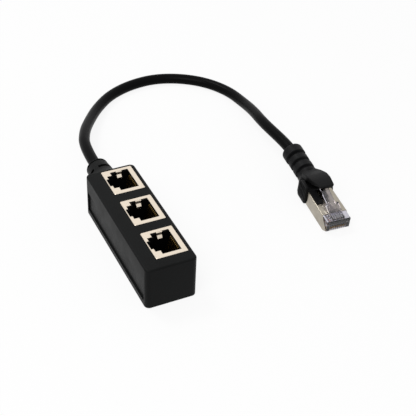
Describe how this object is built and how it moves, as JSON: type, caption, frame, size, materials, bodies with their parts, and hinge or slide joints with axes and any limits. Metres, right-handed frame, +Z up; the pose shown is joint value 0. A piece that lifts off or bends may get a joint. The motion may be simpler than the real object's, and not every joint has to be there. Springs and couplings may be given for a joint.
{
  "type": "network splitter",
  "caption": "Black network splitter: a long housing with a row of shielded sockets on top, and a short looped lead that ends in a clear shielded plug.",
  "frame": {"origin": "middle of the housing's flat underside", "axes": "+Z up out of the sockets, +Y along the housing towards the lead, +X across, away from the sockets' latch side"},
  "size_m": [0.104, 0.1566, 0.02],
  "materials": {
    "housing": "satin",
    "board": "satin",
    "relief": "satin",
    "jacket": "satin",
    "wire_insulation": "satin",
    "jack_metal": "satin",
    "jack_plastic": "matte",
    "contact_gold": "polished",
    "clear_plastic": "clear",
    "plug_metal": "satin",
    "boot": "matte"
  },
  "bodies": {
    "root": {"housing_shell": "housing", "base_cover": "housing", "circuit_board": "board", "strain_relief": "relief", "housing_wires": "wire_insulation", "cable_jacket": "jacket", "jack_1_shield": "jack_metal", "jack_1_insulator": "jack_plastic", "jack_1_contacts": "contact_gold", "jack_2_shield": "jack_metal", "jack_2_insulator": "jack_plastic", "jack_2_contacts": "contact_gold", "jack_3_shield": "jack_metal", "jack_3_insulator": "jack_plastic", "jack_3_contacts": "contact_gold", "plug_body": "clear_plastic", "plug_shield": "plug_metal", "plug_contacts": "contact_gold", "plug_wires": "wire_insulation", "plug_boot": "boot"}
  },
  "joints": []
}
